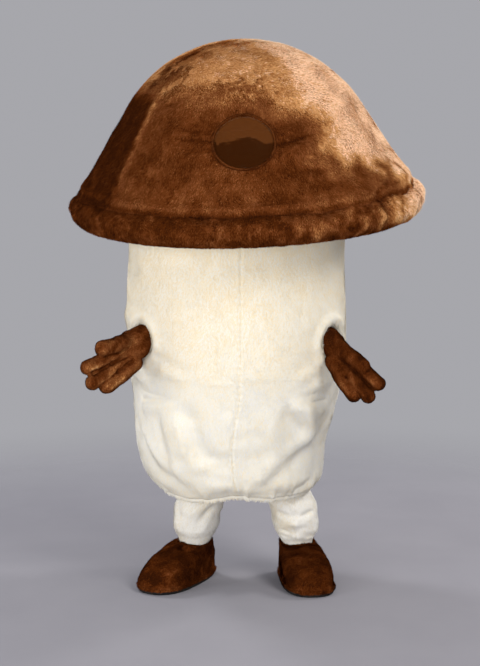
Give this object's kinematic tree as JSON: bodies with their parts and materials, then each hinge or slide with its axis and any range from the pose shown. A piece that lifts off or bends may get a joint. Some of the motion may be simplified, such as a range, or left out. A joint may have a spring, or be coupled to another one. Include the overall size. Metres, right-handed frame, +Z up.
{
  "type": "mushroom costume",
  "caption": "Plush mushroom costume as worn: domed brown cap on a cream barrel stem, with gloves, trousers and overshoes.",
  "frame": {"origin": "on the floor under the middle of the cap's rim, which is the costume's widest part", "axes": "+Z up, -Y towards the front, where the window is, +X to the right as the front view shows it"},
  "size_m": [1.2851, 1.2725, 1.9632],
  "materials": {
    "brown_plush": "short brown fur plush with a soft nap",
    "cream_plush": "short cream fur plush",
    "brown_binding": "brown binding tape",
    "dark_mesh": "see-through dark brown mesh",
    "foam": "matt open-cell foam sheet",
    "black_plastic": "black moulded plastic",
    "black_webbing": "black woven webbing",
    "black_rubber": "matt black sheet rubber"
  },
  "bodies": {
    "root": {"cap_plush": "brown_plush", "cap_foam": "foam", "cap_window": "dark_mesh", "window_binding": "brown_binding", "cap_rim_roll": "brown_plush", "cap_underside": "cream_plush", "cap_deck": "foam", "helmet_shell": "black_plastic", "helmet_pad": "foam", "helmet_frame": "black_plastic", "chin_strap": "black_webbing", "stem_plush": "cream_plush", "stem_foam": "foam", "stem_hoop": "black_plastic", "stem_hem": "cream_plush", "shoulder_pad_left": "black_webbing", "shoulder_pad_right": "black_webbing", "brace_left": "black_webbing", "brace_right": "black_webbing", "trousers": "cream_plush", "waistband": "black_webbing", "armhole_cuff_left": "cream_plush", "armhole_cuff_right": "cream_plush", "glove_left": "brown_plush", "glove_right": "brown_plush", "shoe_upper_left": "brown_plush", "shoe_upper_right": "brown_plush", "shoe_sole_left": "black_rubber", "shoe_sole_right": "black_rubber"}
  },
  "joints": []
}
